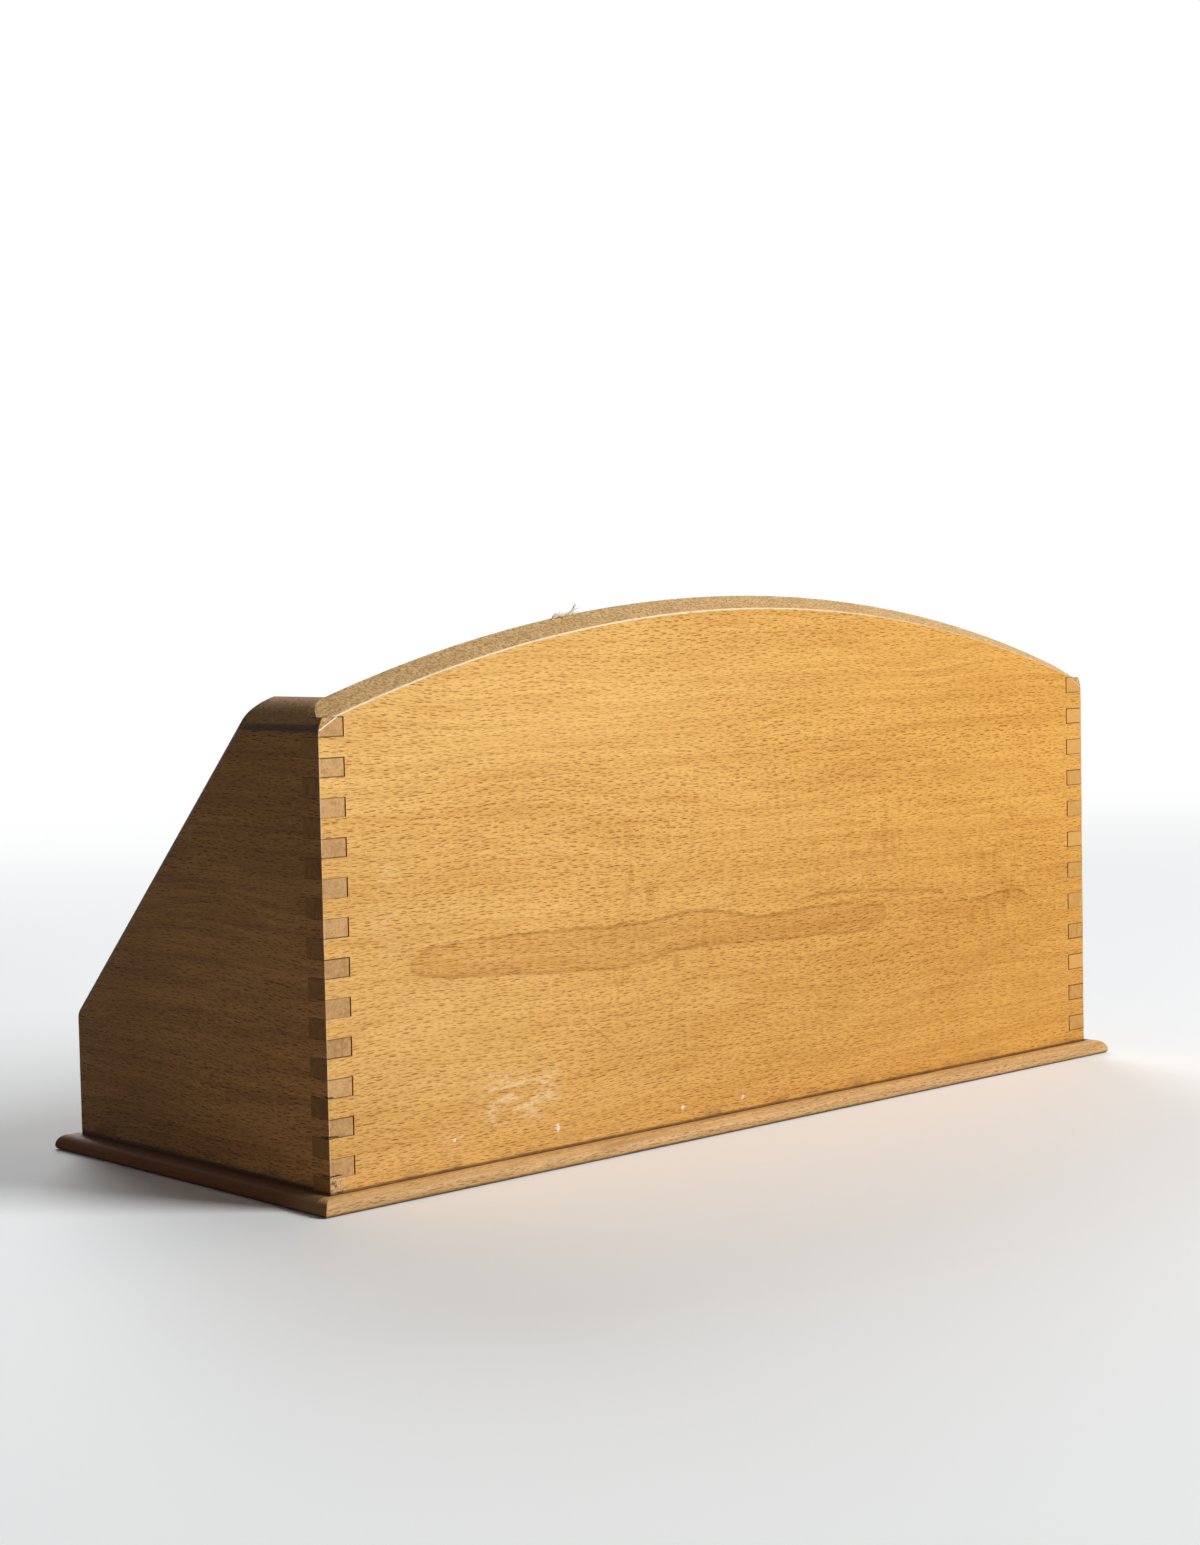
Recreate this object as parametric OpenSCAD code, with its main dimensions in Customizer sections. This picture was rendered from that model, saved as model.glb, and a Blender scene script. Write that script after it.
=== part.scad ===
// Desk letter box: a low open-fronted beech box for papers and keepsakes.
// An arched back board is finger jointed into two sloped side boards, three
// thin dividers step down towards a low front board, and the walls stand on
// a thin base board with a rounded nose all round.
//
// X runs across the box, Y from the low front to the arched back, Z up.
// The origin is on the table, under the middle of the base board.

/* [Box] */

// Length of the box over the outer faces of the side boards
box_length = 368; // [330:1:420]

// Depth of the box from the front ends of the sides to the rear face
box_depth = 139; // [130:1:160]

// Height of the sides' level tops above the base board
side_height = 148.4; // [140:0.2:160]

// Height of the arched back board above the base board
back_height = 176.6; // [170:0.2:190]

// Height of the sides' front ends above the base board
front_end_height = 43.4; // [36:0.2:52]

// Depth of the level part of the sides' tops, from the rear face
level_depth = 34; // [26:0.5:44]

/* [Boards] */

// Thickness of the two side boards
side_thickness = 9; // [8:0.25:11]

// Thickness of the back board
back_thickness = 8.5; // [7.5:0.25:10]

// Thickness of the low front board
front_thickness = 8.5; // [7:0.25:10]

// Height of the front board above the base board
front_height = 42; // [34:0.5:46]

// Distance the front board stands back from the front ends of the sides
front_setback = 4; // [2:0.5:8]

// Thickness of the three dividers
divider_thickness = 4; // [3:0.25:5]

// Drop from the sloped edge of the sides to the top of each divider
divider_drop = 8; // [4:0.5:14]

// Depth of the grooves in the sides that hold the dividers and the front board
groove_depth = 3; // [2:0.25:4]

/* [Shaped edges] */

// Radius of the rounded top corners, seen from behind
corner_radius = 12; // [9:0.5:14]

// Amount the arched top edge falls from its inner to its rear arris
arch_bevel = 4.4; // [2:0.2:6]

// Radius of the eased outer arris along the slope of each side
slope_ease = 2.8; // [1.5:0.1:4]

/* [Finger joints] */

// Distance from one finger to the next
finger_pitch = 12; // [11:0.25:14]

// Height of each side board finger
finger_height = 5.8; // [5:0.1:6.5]

// Height of the lowest side board finger above the base board
first_finger = 4.9; // [4:0.1:7]

// Extra depth of the sockets in the back board behind the side fingers
socket_relief = 0.5; // [0.2:0.1:1]

// Clearance on each side of a finger and around each housed board
joint_gap = 0.1; // [0.05:0.01:0.2]

/* [Base] */

// Thickness of the base board
base_thickness = 5; // [4:0.25:8]

// Overhang of the base board beyond the box on all four sides
base_overhang = 6.6; // [5:0.1:12]

// Radius of the lower edge of the base board's nose
base_lower_radius = 1.2; // [0.6:0.1:1.8]

/* [Screws] */

// Diameter of the wood screws under the base
screw_diameter = 3.2; // [2.6:0.1:3.6]

// Diameter of the countersunk screw heads
screw_head_diameter = 6.4; // [5.6:0.1:7]

// Length of the wood screws
screw_length = 20; // [14:1:28]

/* [Hidden] */

$fn = 96;

half_length = box_length / 2;
half_depth = box_depth / 2;
inner_half = half_length - side_thickness;
over = 2;

// The arch passes through the sides' tops at their inner faces.
arch_rise = back_height - side_height;
arch_radius = (inner_half * inner_half + arch_rise * arch_rise) / (2 * arch_rise);
arch_centre = base_thickness + back_height - arch_radius;

// Each rounded top corner touches the arch and the outer face of its side.
corner_x = half_length - corner_radius;
corner_reach = arch_radius - corner_radius;
corner_z = arch_centre + sqrt(corner_reach * corner_reach - corner_x * corner_x);
corner_angle = atan2(corner_z - arch_centre, corner_x);

// The sloped front edge of the sides.
slope_run = box_depth - level_depth;
slope_rise = side_height - front_end_height;
slope_angle = atan2(slope_rise, slope_run);
slope_length = sqrt(slope_run * slope_run + slope_rise * slope_rise);

// Finger joints: whole fingers only, with wood left above the top one.
least_cover = 3;
finger_count =
  floor((side_height - first_finger - finger_height - least_cover) / finger_pitch) + 1;
finger_root = half_depth - back_thickness - joint_gap;

// Three dividers share the inside depth equally.
inside_back = half_depth - back_thickness;
front_rear_face = -half_depth + front_setback + front_thickness;
slot_depth = (inside_back - front_rear_face - 3 * divider_thickness) / 4;

base_top_radius = base_thickness - base_lower_radius;
screw_radius = screw_diameter / 2;
screw_head_radius = screw_head_diameter / 2;
screw_head_height = screw_head_radius - screw_radius;
screw_recess = 0.3;
screw_tip = 3;
pilot_gap = 0.05;
screw_side_y = 0.3 * box_depth;
screw_back_x = 0.34 * box_length;
screw_front_x = 0.27 * box_length;
screw_back_y = half_depth - back_thickness / 2;
screw_front_y = -half_depth + front_setback + front_thickness / 2;
screw_side_x = half_length - side_thickness / 2;
screw_places = concat(
  [for (x = [-screw_side_x, screw_side_x], y = [-screw_side_y, screw_side_y]) [x, y]],
  [for (x = [-screw_back_x, 0, screw_back_x]) [x, screw_back_y]],
  [for (x = [-screw_front_x, screw_front_x]) [x, screw_front_y]]
);

wood = [0.80, 0.60, 0.36];
end_wood = [0.74, 0.54, 0.33];
thin_wood = [0.83, 0.66, 0.44];
steel = [0.62, 0.60, 0.56];

// Rear face of divider number n, counted from the back.
function divider_rear(n) = inside_back - n * slot_depth - (n - 1) * divider_thickness;

// Height above the table of the sloped side edge at depth y.
function slope_z(y) =
  base_thickness + front_end_height + (y + half_depth) * slope_rise / slope_run;

// Top of divider number n above the table.
function divider_top(n) =
  min(slope_z(divider_rear(n) - divider_thickness), base_thickness + side_height)
  - divider_drop;

// Outline of the box seen from behind: straight ends, rounded corners, arch.
module rear_outline() {
  difference() {
    intersection() {
      translate([-half_length, base_thickness])
        square([box_length, back_height + over]);
      translate([0, arch_centre])
        circle(r = arch_radius, $fn = 720);
    }
    for (s = [-1, 1])
      scale([s, 1])
        difference() {
          polygon([
            [corner_x, corner_z],
            [corner_x + 2 * corner_radius * cos(corner_angle),
             corner_z + 2 * corner_radius * sin(corner_angle)],
            [half_length + corner_radius, corner_z + 2 * corner_radius],
            [half_length + corner_radius, corner_z]
          ]);
          translate([corner_x, corner_z])
            circle(r = corner_radius);
        }
  }
}

// A slab standing upright, seen from behind as the given outline.
module upright(rear, thickness) {
  translate([0, rear, 0])
    rotate([90, 0, 0])
      linear_extrude(height = thickness)
        children();
}

// Arched back board with a bevelled top and a row of sockets at each end.
module back_board() {
  color(wood)
    difference() {
      intersection() {
        upright(half_depth, back_thickness)
          rear_outline();
        translate([0, half_depth, arch_centre])
          rotate([90, 0, 0])
            cylinder(h = back_thickness, r1 = arch_radius - arch_bevel,
                     r2 = arch_radius, $fn = 720);
      }
      for (s = [-1, 1], k = [0 : finger_count - 1])
        translate([
          s * (half_length - side_thickness / 2 - socket_relief / 2 + over / 2)
            - (side_thickness + socket_relief + over) / 2,
          half_depth - back_thickness - over,
          base_thickness + first_finger + k * finger_pitch - joint_gap
        ])
          cube([side_thickness + socket_relief + over, back_thickness + 2 * over,
                finger_height + 2 * joint_gap]);
      for (p = screw_places)
        pilot_hole(p);
    }
}

// Side board outline in depth and height, with its fingers at the rear.
module side_outline() {
  polygon([
    [-half_depth, base_thickness],
    [finger_root, base_thickness],
    [finger_root, base_thickness + side_height + over],
    [half_depth - level_depth + over / tan(slope_angle), base_thickness + side_height + over],
    [-half_depth, base_thickness + front_end_height]
  ]);
  for (k = [0 : finger_count - 1])
    translate([finger_root - over, base_thickness + first_finger + k * finger_pitch])
      square([half_depth - finger_root + over, finger_height]);
}

// The side board on the +X side: sloped front, level rounded top.
module side_board() {
  difference() {
    intersection() {
      translate([inner_half, 0, 0])
        rotate([90, 0, 90])
          linear_extrude(height = side_thickness)
            side_outline();
      upright(half_depth, box_depth)
        rear_outline();
    }
    translate([half_length, -half_depth, base_thickness + front_end_height])
      rotate([slope_angle, 0, 0])
        difference() {
          translate([-slope_ease, -2 * slope_ease, -slope_ease])
            cube([slope_ease + over, slope_length + 3 * slope_ease, slope_ease + over]);
          translate([-slope_ease, -2 * slope_ease - over, -slope_ease])
            rotate([-90, 0, 0])
              cylinder(r = slope_ease, h = slope_length + 3 * slope_ease + 2 * over);
        }
    for (n = [1 : 3])
      translate([inner_half - over, divider_rear(n) - divider_thickness - joint_gap,
                 base_thickness - over])
        cube([groove_depth + over, divider_thickness + 2 * joint_gap,
              side_height + 2 * over]);
    translate([inner_half - over, front_rear_face - front_thickness - joint_gap,
               base_thickness - over])
      cube([groove_depth + over, front_thickness + 2 * joint_gap,
            front_height + joint_gap + over]);
    for (p = screw_places)
      pilot_hole(p);
  }
}

module left_side_board() {
  color(end_wood)
    mirror([1, 0, 0])
      side_board();
}

module right_side_board() {
  color(end_wood)
    side_board();
}

// A board between the sides whose ends stand in their grooves.
module housed_board(rear, thickness, top) {
  reach = inner_half + groove_depth - joint_gap;
  round_radius = thickness / 2;
  translate([-reach, rear - thickness, base_thickness])
    cube([2 * reach, thickness, top - base_thickness - round_radius]);
  translate([-reach, rear - thickness / 2, top - round_radius])
    rotate([0, 90, 0])
      cylinder(r = round_radius, h = 2 * reach);
}

// Low front board, its two top edges eased.
module front_board() {
  reach = inner_half + groove_depth - joint_gap;
  ease = 1.5;
  color(wood)
    difference() {
      translate([-reach, front_rear_face - front_thickness, base_thickness])
        cube([2 * reach, front_thickness, front_height]);
      for (s = [-1, 1])
        translate([-reach - over,
                   front_rear_face - front_thickness / 2 + s * (front_thickness / 2 - ease),
                   base_thickness + front_height - ease])
          difference() {
            translate([0, s < 0 ? -ease - over : 0, 0])
              cube([2 * reach + 2 * over, ease + over, ease + over]);
            translate([-over, 0, 0])
              rotate([0, 90, 0])
                cylinder(r = ease, h = 2 * reach + 4 * over);
          }
      for (p = screw_places)
        pilot_hole(p);
    }
}

module rear_divider() {
  color(thin_wood)
    housed_board(divider_rear(1), divider_thickness, divider_top(1));
}

module middle_divider() {
  color(thin_wood)
    housed_board(divider_rear(2), divider_thickness, divider_top(2));
}

module front_divider() {
  color(thin_wood)
    housed_board(divider_rear(3), divider_thickness, divider_top(3));
}

// Section of the base board: flat, with a rounded nose at both ends.
module nosed_section(width) {
  difference() {
    translate([-width / 2, 0])
      square([width, base_thickness]);
    for (s = [-1, 1])
      scale([s, 1]) {
        difference() {
          translate([width / 2 - base_top_radius, base_lower_radius])
            square([base_top_radius + over, base_top_radius + over]);
          translate([width / 2 - base_top_radius, base_lower_radius])
            circle(r = base_top_radius);
        }
        difference() {
          translate([width / 2 - base_lower_radius, -over])
            square([base_lower_radius + over, base_lower_radius + over]);
          translate([width / 2 - base_lower_radius, base_lower_radius])
            circle(r = base_lower_radius);
        }
      }
  }
}

// Thin base board under the box, mitred nose, countersunk from below.
module base_board() {
  base_length = box_length + 2 * base_overhang;
  base_depth = box_depth + 2 * base_overhang;
  color(end_wood)
    difference() {
      intersection() {
        translate([0, base_depth / 2, 0])
          rotate([90, 0, 0])
            linear_extrude(height = base_depth)
              nosed_section(base_length);
        translate([-base_length / 2, 0, 0])
          rotate([90, 0, 90])
            linear_extrude(height = base_length)
              nosed_section(base_depth);
      }
      for (p = screw_places)
        translate([p[0], p[1], 0]) {
          translate([0, 0, -over])
            cylinder(r = screw_radius + joint_gap, h = base_thickness + 2 * over);
          translate([0, 0, screw_recess])
            cylinder(r1 = screw_head_radius + joint_gap, r2 = screw_radius + joint_gap,
                     h = screw_head_height);
          translate([0, 0, -over])
            cylinder(r = screw_head_radius + joint_gap, h = screw_recess + over);
        }
    }
}

// Pilot hole for one screw in the lower edge of a board.
module pilot_hole(place) {
  translate([place[0], place[1], base_thickness - over])
    cylinder(r = screw_radius + pilot_gap,
             h = screw_recess + screw_length - base_thickness + over + 1);
}

// Slotted countersunk wood screw, head downwards.
module screw() {
  shank = screw_length - screw_head_height - screw_tip;
  difference() {
    union() {
      cylinder(r1 = screw_head_radius, r2 = screw_radius, h = screw_head_height);
      translate([0, 0, screw_head_height])
        cylinder(r = screw_radius, h = shank);
      translate([0, 0, screw_head_height + shank])
        cylinder(r1 = screw_radius, r2 = 0.3, h = screw_tip);
    }
    translate([-screw_head_radius - over, -0.4, -over])
      cube([2 * screw_head_radius + 2 * over, 0.8, over + 0.7]);
  }
}

module base_screws() {
  color(steel)
    for (p = screw_places)
      translate([p[0], p[1], screw_recess])
        screw();
}

base_board();
back_board();
left_side_board();
right_side_board();
front_board();
rear_divider();
middle_divider();
front_divider();
base_screws();
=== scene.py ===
"""Desk letter box: finishes, small wear, floor, light and camera.

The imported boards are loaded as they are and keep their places. This script
gives each board its varnished beech, adds the frayed splinter on the arch,
and sets up the floor, the lamps and the camera of the photograph.
"""

import logging
import math
from dataclasses import dataclass
from enum import Enum
from typing import Sequence, Union

import bmesh
import bpy
from mathutils import Matrix, Vector


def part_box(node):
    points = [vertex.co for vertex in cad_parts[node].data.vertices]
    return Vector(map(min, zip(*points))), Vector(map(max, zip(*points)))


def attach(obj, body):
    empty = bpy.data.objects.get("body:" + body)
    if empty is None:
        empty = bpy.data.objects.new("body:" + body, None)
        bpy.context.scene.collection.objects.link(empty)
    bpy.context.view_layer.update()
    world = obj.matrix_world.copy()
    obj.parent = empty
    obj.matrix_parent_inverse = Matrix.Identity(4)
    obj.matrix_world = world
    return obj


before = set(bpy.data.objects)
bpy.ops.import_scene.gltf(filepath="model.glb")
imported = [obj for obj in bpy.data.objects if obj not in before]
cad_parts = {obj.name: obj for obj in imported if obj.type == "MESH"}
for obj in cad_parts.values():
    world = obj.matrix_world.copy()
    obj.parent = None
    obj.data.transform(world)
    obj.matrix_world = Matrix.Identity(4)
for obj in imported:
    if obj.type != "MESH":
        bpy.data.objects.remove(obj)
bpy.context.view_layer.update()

BODY = "root"
MM = 0.001

log = logging.getLogger("letter_box")

Colour = tuple[float, float, float, float]
Point = tuple[float, float, float]
Span = tuple[float, float]
Socket = bpy.types.NodeSocket
Value = Union[Socket, float, Sequence[float]]
Groups = dict[str, bpy.types.NodeTree]


@dataclass(frozen=True)
class BoxSizes:
    """Sizes of the letter box that the finishes follow, in metres.

    The first eight are read from the frame. The rest can't be read from the
    boxes of the boards, so they are named here.
    """

    half_length: float
    rear: float
    front: float
    table: float
    apex: float
    side_top: float
    back_thickness: float
    side_thickness: float
    arch_bevel: float = 4.4 * MM
    front_end: float = 48.4 * MM
    level_depth: float = 34.0 * MM
    finger_pitch: float = 12.0 * MM
    first_finger: float = 4.9 * MM
    finger_height: float = 5.8 * MM
    varnish_line: float = 8.9 * MM

    @staticmethod
    def from_frame() -> "BoxSizes":
        """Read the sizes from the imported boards.

        Returns:
            BoxSizes: the sizes, in metres.
        """
        back_low, back_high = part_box("back_board")
        side_low, side_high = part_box("right_side_board")
        return BoxSizes(
            half_length=back_high.x,
            rear=back_high.y,
            front=side_low.y,
            table=back_low.z,
            apex=back_high.z,
            side_top=side_high.z,
            back_thickness=back_high.y - back_low.y,
            side_thickness=side_high.x - side_low.x,
        )

    @property
    def arch_radius(self) -> float:
        """Radius of the arch at its inner arris.

        Returns:
            float: the radius, in metres.
        """
        half = self.half_length - self.side_thickness
        rise = self.apex - self.side_top
        return (half * half + rise * rise) / (2 * rise)

    @property
    def arch_centre(self) -> float:
        """Height of the arch's centre, far below the table."""
        return self.apex - self.arch_radius

    @property
    def bevel_arris(self) -> float:
        """Radius of the arch where its bevel meets the rear face."""
        return self.arch_radius - self.arch_bevel

    @property
    def slope(self) -> float:
        """Rise over run of the sloped front edge of the sides."""
        run = (self.rear - self.level_depth) - self.front
        return (self.side_top - self.front_end) / run


class Grain(Enum):
    """Direction in which a board's grain runs."""

    ACROSS = "across the box"
    DEPTH = "front to back"


class Tone:
    """Linear colours of the wood's parts, of dirt and of wear, and of painted shade and light."""

    FLECK: Colour = (0.54, 0.36, 0.18, 1)
    END_RAY: Colour = (0.6, 0.5, 0.42, 1)
    END_CLOUD: Colour = (0.76, 0.66, 0.56, 1)
    EDGE: Colour = (0.68, 0.44, 0.19, 1)
    EDGE_PORE: Colour = (0.3, 0.16, 0.065, 1)
    EDGE_LIGHT: Colour = (0.86, 0.68, 0.42, 1)
    EDGE_SHADE: Colour = (0.4, 0.24, 0.1, 1)
    CREST: Colour = (0.72, 0.62, 0.52, 1)
    FINGER_STREAK: Colour = (0.09, 0.035, 0.012, 1)
    FAR_FINGER: Colour = (0.72, 0.37, 0.085, 1)
    ARRIS_WEAR_AND_HIGHLIGHT: Colour = (1.0, 0.84, 0.58, 1)
    # Dark lines of dirt and cracks, also laid as painted shade in the gap over the base, along feet
    # and along the slope's arris.
    DARK_DIRT_AND_SHADE: Colour = (0.035, 0.015, 0.006, 1)
    HAZE: Colour = (0.11, 0.055, 0.02, 1)
    FAR_END: Colour = (0.85, 0.74, 0.5, 1)
    NEAR_FOOT: Colour = (0.9, 0.87, 0.85, 1)
    PAINTED_BOUNCE_LIGHT: Colour = (1.7, 1.7, 1.85, 1)
    CORNER_WEAR_AND_HIGHLIGHT: Colour = (0.84, 0.6, 0.36, 1)
    BROKEN: Colour = (0.66, 0.45, 0.25, 1)
    BROKEN_PORE: Colour = (0.12, 0.055, 0.022, 1)
    BASE_END_SHADE: Colour = (0.5, 0.34, 0.24, 1)
    STAIN: Colour = (0.84, 0.76, 0.68, 1)
    STAIN_RIM: Colour = (0.7, 0.6, 0.52, 1)
    RUB: Colour = (0.95, 0.7, 0.4, 1)
    BROWN_MARK: Colour = (0.5, 0.23, 0.05, 1)
    CHALK: Colour = (0.86, 0.78, 0.66, 1)
    STEEL: Colour = (0.52, 0.5, 0.47, 1)
    TARNISH: Colour = (0.3, 0.22, 0.15, 1)
    TORN_FIBRE: Colour = (0.66, 0.56, 0.4, 1)


class NodeBook:
    """Short calls that write one node tree, for materials and groups alike."""

    def __init__(self, tree: bpy.types.NodeTree) -> None:
        """Keep the tree that the calls write to."""
        self.tree = tree

    def add(self, kind: str, **settings: object) -> bpy.types.Node:
        """Add one node and set its own properties.

        Args:
            kind: the node's type name.
            **settings: properties of the node.

        Returns:
            bpy.types.Node: the new node.
        """
        node = self.tree.nodes.new(kind)
        for name, value in settings.items():
            setattr(node, name, value)
        return node

    def feed(self, socket: Socket, value: Value) -> None:
        """Link an output to a socket, or set the socket to a plain value.

        Args:
            socket: input that is fed.
            value: output or plain value.
        """
        if isinstance(value, Socket):
            self.tree.links.new(value, socket)
        else:
            socket.default_value = value

    def fill(self, node: bpy.types.Node, values: dict[str, Value]) -> None:
        """Feed several inputs of a node, each by its label."""
        for label, value in values.items():
            self.feed(node.inputs[label], value)

    def math(self, operation: str, *values: Value, clamp: bool = False) -> Socket:
        """One Math node on up to three values.

        Args:
            operation: the node's operation.
            *values: numbers or outputs, in the node's order.
            clamp: keep the result between 0 and 1.

        Returns:
            Socket: the result.
        """
        node = self.add("ShaderNodeMath", operation=operation, use_clamp=clamp)
        for socket, value in zip(node.inputs, values):
            self.feed(socket, value)
        return node.outputs[0]

    def chain(self, operation: str, *values: Value) -> Value:
        """One operation carried from value to value.

        Args:
            operation: the Math node's operation.
            *values: numbers or outputs.

        Returns:
            Value: the result, or the value itself if there is only one.
        """
        result = values[0]
        for value in values[1:]:
            result = self.math(operation, result, value)
        return result

    def product(self, *values: Value) -> Value:
        """Several values multiplied together."""
        return self.chain("MULTIPLY", *values)

    def total(self, *values: Value) -> Value:
        """Several values added together."""
        return self.chain("ADD", *values)

    def most(self, *values: Value) -> Value:
        """The largest of several values."""
        return self.chain("MAXIMUM", *values)

    def minus(self, value: Value, less: Value) -> Socket:
        """A value less another."""
        return self.math("SUBTRACT", value, less)

    def ratio(self, value: Value, unit: Value) -> Socket:
        """A value divided by another."""
        return self.math("DIVIDE", value, unit)

    def size(self, value: Value) -> Socket:
        """A value without its sign."""
        return self.math("ABSOLUTE", value)

    def length(self, *parts: Value) -> Socket:
        """Length of a vector with these parts."""
        return self.math("SQRT", self.total(*(self.product(part, part) for part in parts)))

    def sway(self, noise: Socket, reach: float) -> Value:
        """A noise value turned into a shift to both sides, up to half the reach."""
        return self.product(self.minus(noise, 0.5), reach)

    def fade(
        self, value: Value, start: float, end: float, low: float = 0.0, high: float = 1.0
    ) -> Socket:
        """A smooth step from low to high while the value goes from start to end.

        Args:
            value: the number or output that is followed.
            start: value at which the step begins.
            end: value at which the step is over.
            low: result before the step.
            high: result after the step.

        Returns:
            Socket: the result.
        """
        node = self.add("ShaderNodeMapRange", interpolation_type="SMOOTHSTEP", clamp=True)
        for socket, number in zip(node.inputs, (value, start, end, low, high)):
            self.feed(socket, number)
        return node.outputs[0]

    def drop(self, value: Value, start: float, end: float) -> Socket:
        """1 up to the start, 0 from the end on."""
        return self.fade(value, start, end, 1.0, 0.0)

    def near(self, value: Value, centre: float, core: float, soft: float) -> Socket:
        """1 where the value lies within core of the centre, 0 beyond core plus soft."""
        return self.drop(self.size(self.minus(value, centre)), core, core + soft)

    def window(self, value: Value, span: Span, soft: float) -> Value:
        """1 inside a span of values, with ends that are soft to both sides."""
        return self.product(self.fade(value, span[0] - soft, span[0] + soft),
                            self.drop(value, span[1] - soft, span[1] + soft))

    def profile(self, value: Value, span: Span, points: Sequence[Span], reach: Span) -> Socket:
        """A smooth curve through given points.

        Args:
            value: the place along the curve.
            span: first and last place.
            points: place and height of each point, in rising order.
            reach: lowest and highest height.

        Returns:
            Socket: the curve's height at the place.
        """
        node = self.add("ShaderNodeFloatCurve")
        width, rise = span[1] - span[0], reach[1] - reach[0]
        share = self.math("DIVIDE", self.minus(value, span[0]), width, clamp=True)
        self.feed(node.inputs["Value"], share)
        curve = node.mapping.curves[0]
        spots = [((place - span[0]) / width, (height - reach[0]) / rise)
                 for place, height in points]
        curve.points[0].location, curve.points[1].location = spots[0], spots[-1]
        for spot in spots[1:-1]:
            curve.points.new(*spot)
        node.mapping.update()
        return self.math("MULTIPLY_ADD", node.outputs[0], rise, reach[0])

    def dashes(self, along: Value, across: Value, cell: Span, half: Span) -> Value:
        """Short dashes, one in each cell of a loose net.

        Args:
            along: place along the dashes, in metres.
            across: place across them, in metres.
            cell: length and height of a cell, in metres.
            half: half the length and half the height of a dash, in metres.

        Returns:
            Value: up to 1 on a dash, 0 between them.
        """
        spread = self.joined(self.ratio(along, cell[0]), self.ratio(across, cell[1]), 0.0)
        cells = self.add("ShaderNodeTexVoronoi", voronoi_dimensions="2D", feature="F1")
        self.fill(cells, {"Vector": spread, "Scale": 1.0, "Randomness": 1.0})
        gap = self.vector("SUBTRACT", spread, cells.outputs["Position"])
        share = self.stretched(gap, (cell[0] / half[0], cell[1] / half[1], 0.0))
        reach = self.vector("LENGTH", share, output="Value")
        chance = self.split(cells.outputs["Color"])
        size = self.math("MULTIPLY_ADD", chance[0], 0.8, 0.55)
        dash = self.drop(self.ratio(reach, size), 0.55, 1.25)
        return self.product(dash, self.math("MULTIPLY_ADD", chance[1], 0.6, 0.4))

    def noise(
        self, vector: Value, scale: Point, detail: float = 2.0, roughness: float = 0.5,
        shift: Point = (0, 0, 0),
    ) -> Socket:
        """A noise value around one half.

        Args:
            vector: where the noise is read.
            scale: noise cells per metre along each axis.
            detail: octaves of finer noise.
            roughness: strength of the finer octaves.
            shift: how far the pattern is moved, in cells.

        Returns:
            Socket: the value.
        """
        node = self.add("ShaderNodeTexNoise")
        place = self.stretched(vector, scale, shift)
        self.fill(node, {"Vector": place, "Scale": 1.0, "Detail": detail, "Roughness": roughness})
        return node.outputs[0]

    def vector(self, operation: str, *values: Value, output: str = "Vector") -> Socket:
        """One Vector Math node on up to three vectors.

        Args:
            operation: the node's operation.
            *values: vectors, in the node's order.
            output: label of the output that is wanted.

        Returns:
            Socket: the result.
        """
        node = self.add("ShaderNodeVectorMath", operation=operation)
        for socket, value in zip(node.inputs, values):
            self.feed(socket, value)
        return node.outputs[output]

    def stretched(self, vector: Value, scale: Point, shift: Point = (0, 0, 0)) -> Socket:
        """The vector scaled per axis and then shifted."""
        return self.vector("MULTIPLY_ADD", vector, scale, shift)

    def split(self, vector: Value) -> tuple[Socket, ...]:
        """The three parts of a vector.

        Args:
            vector: the vector.

        Returns:
            tuple[Socket, ...]: its parts along x, y and z.
        """
        node = self.add("ShaderNodeSeparateXYZ")
        self.feed(node.inputs[0], vector)
        return tuple(node.outputs)

    def joined(self, *parts: Value) -> Socket:
        """A vector of three parts.

        Args:
            *parts: its parts along x, y and z.

        Returns:
            Socket: the vector.
        """
        node = self.add("ShaderNodeCombineXYZ")
        for socket, value in zip(node.inputs, parts):
            self.feed(socket, value)
        return node.outputs[0]

    def tint(self, amount: Value, under: Value, over: Value, way: str = "MIX") -> Socket:
        """Lay one colour over another.

        Args:
            amount: how much of the upper colour shows.
            under: the colour below.
            over: the colour laid on.
            way: the Mix node's blending.

        Returns:
            Socket: the mixed colour.
        """
        node = self.add("ShaderNodeMix", data_type="RGBA", blend_type=way, clamp_factor=True)
        for place, value in ((0, amount), (6, under), (7, over)):
            self.feed(node.inputs[place], value)
        return node.outputs[2]


def new_group(
    name: str, inputs: Sequence[tuple[str, str, object]], outputs: Sequence[tuple[str, str]]
) -> tuple[bpy.types.NodeTree, NodeBook, bpy.types.Node, bpy.types.Node]:
    """Start a shader node group with named inputs and outputs.

    Args:
        name: the group's name.
        inputs: name, socket type and default of each input.
        outputs: name and socket type of each output.

    Returns:
        tuple: the group, a NodeBook on it, its input node and output node.
    """
    group = bpy.data.node_groups.new(name, "ShaderNodeTree")
    for label, kind, default in inputs:
        socket = group.interface.new_socket(name=label, in_out="INPUT", socket_type=kind)
        if default is not None:
            socket.default_value = default
    for label, kind in outputs:
        group.interface.new_socket(name=label, in_out="OUTPUT", socket_type=kind)
    book = NodeBook(group)
    return group, book, book.add("NodeGroupInput"), book.add("NodeGroupOutput")


def new_material(name: str) -> tuple[bpy.types.Material, bpy.types.Node, NodeBook]:
    """Start a material with the plain surface shader.

    Args:
        name: the material's name.

    Returns:
        tuple: the material, its shader node and a NodeBook on its tree.
    """
    material = bpy.data.materials.new(name)
    material.use_nodes = True
    return material, material.node_tree.nodes["Principled BSDF"], NodeBook(material.node_tree)


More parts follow.
